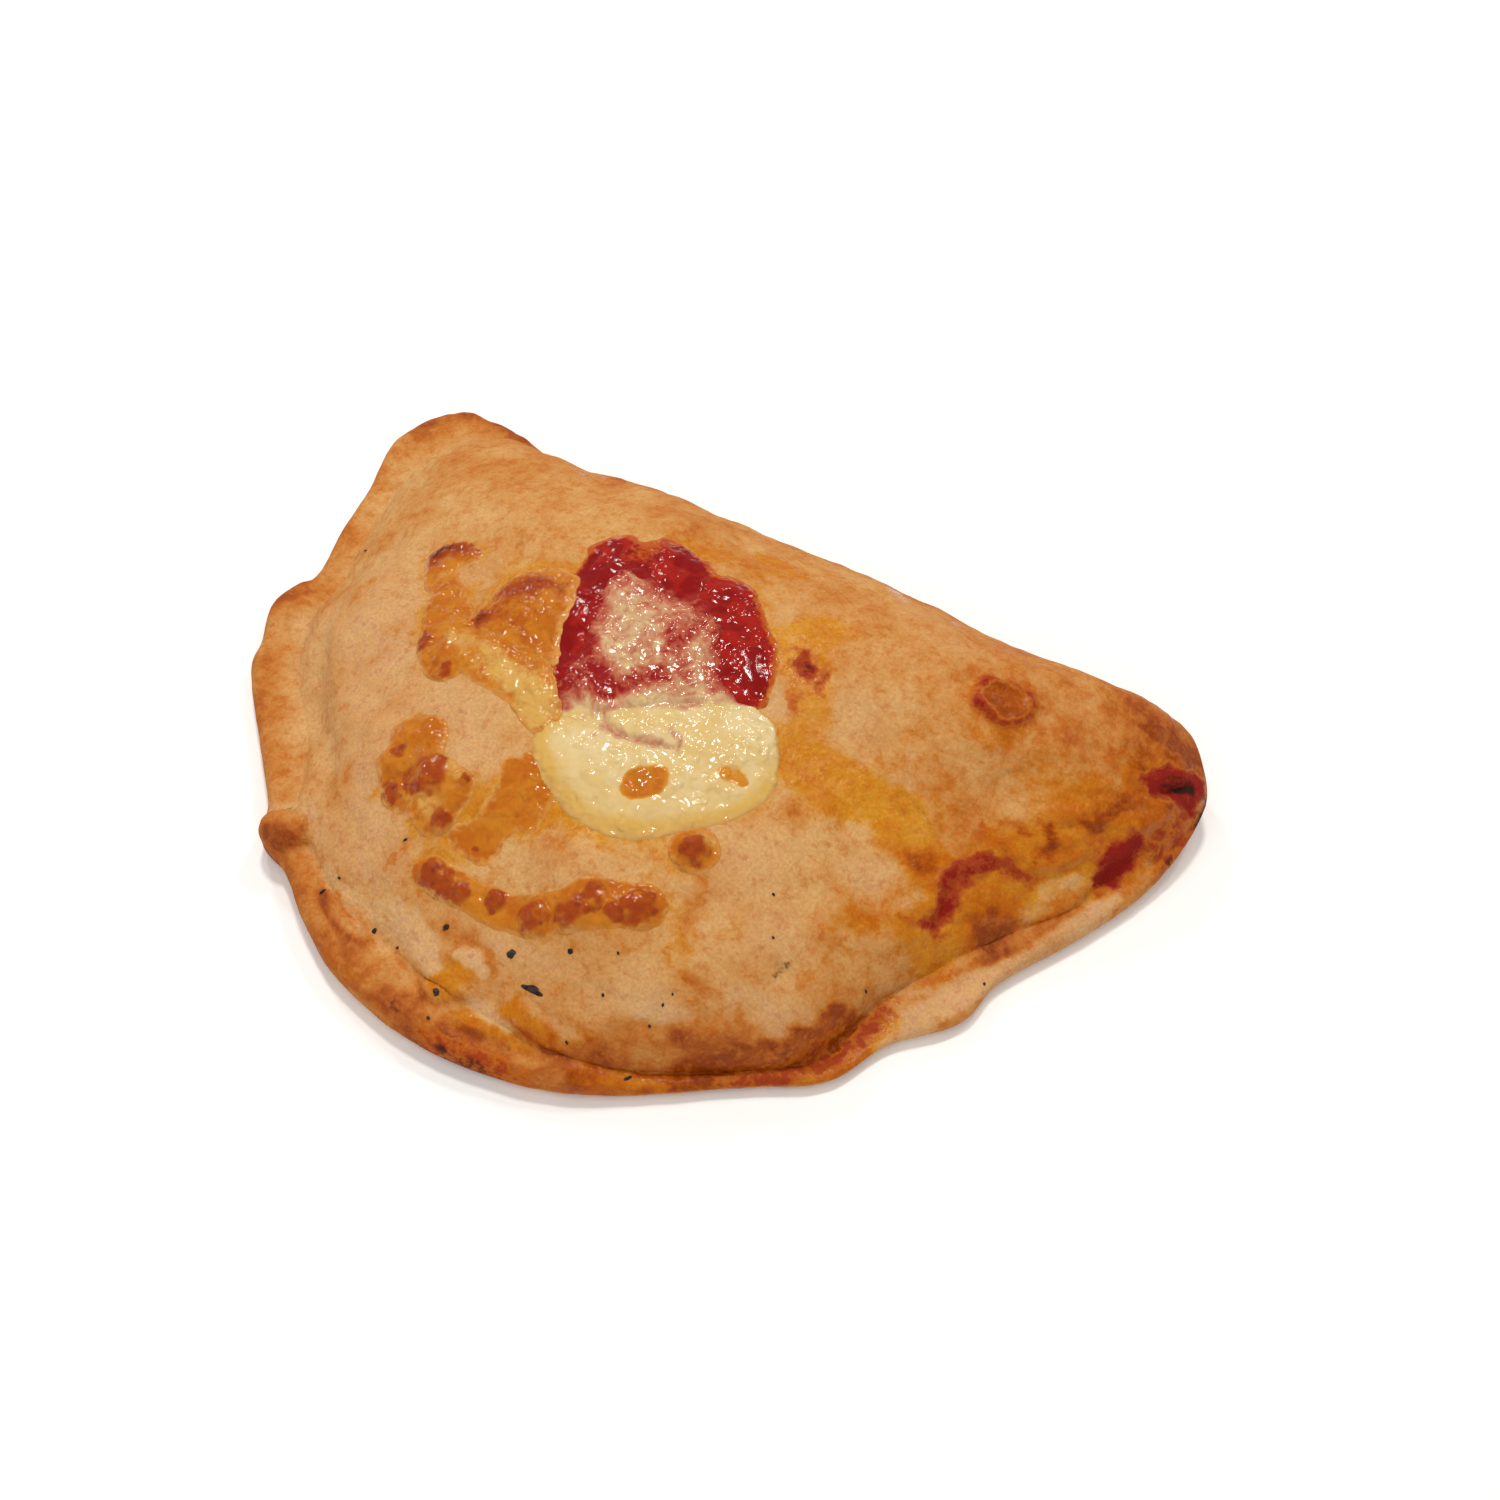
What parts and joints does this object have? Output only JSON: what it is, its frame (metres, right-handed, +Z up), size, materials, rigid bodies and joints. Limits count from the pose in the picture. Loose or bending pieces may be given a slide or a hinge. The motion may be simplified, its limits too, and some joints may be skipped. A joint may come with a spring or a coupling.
{
  "type": "calzone",
  "caption": "Half-moon calzone: puffed pizza dough folded over its filling, sealed along the round edge, with tomato sauce and melted and fried cheese baked on its crown.",
  "frame": {"origin": "centre of the footprint's bounding box at the flat underside", "axes": "+X along the fold towards the pointed end with the burnt tip, +Y from the sealed round edge towards the fold, +Z up"},
  "size_m": [0.2499, 0.1668, 0.0446],
  "materials": {
    "baked_dough": "baked pizza dough, golden to reddish brown with pale floury patches, lightly oiled",
    "tomato": "cooked tomato sauce, deep crimson and wet",
    "molten_cheese": "melted cheese, cream to yellow, wet and glossy",
    "fried_cheese": "cheese fried to orange gold and brown, blistered and oily"
  },
  "bodies": {
    "root": {"dough": "baked_dough", "tomato_sauce": "tomato", "melted_cheese": "molten_cheese", "cheese_strand_left": "fried_cheese", "cheese_band": "fried_cheese", "cheese_knob": "fried_cheese", "cheese_smear": "fried_cheese", "cheese_strand_front": "fried_cheese", "cheese_drop": "fried_cheese"}
  },
  "joints": []
}
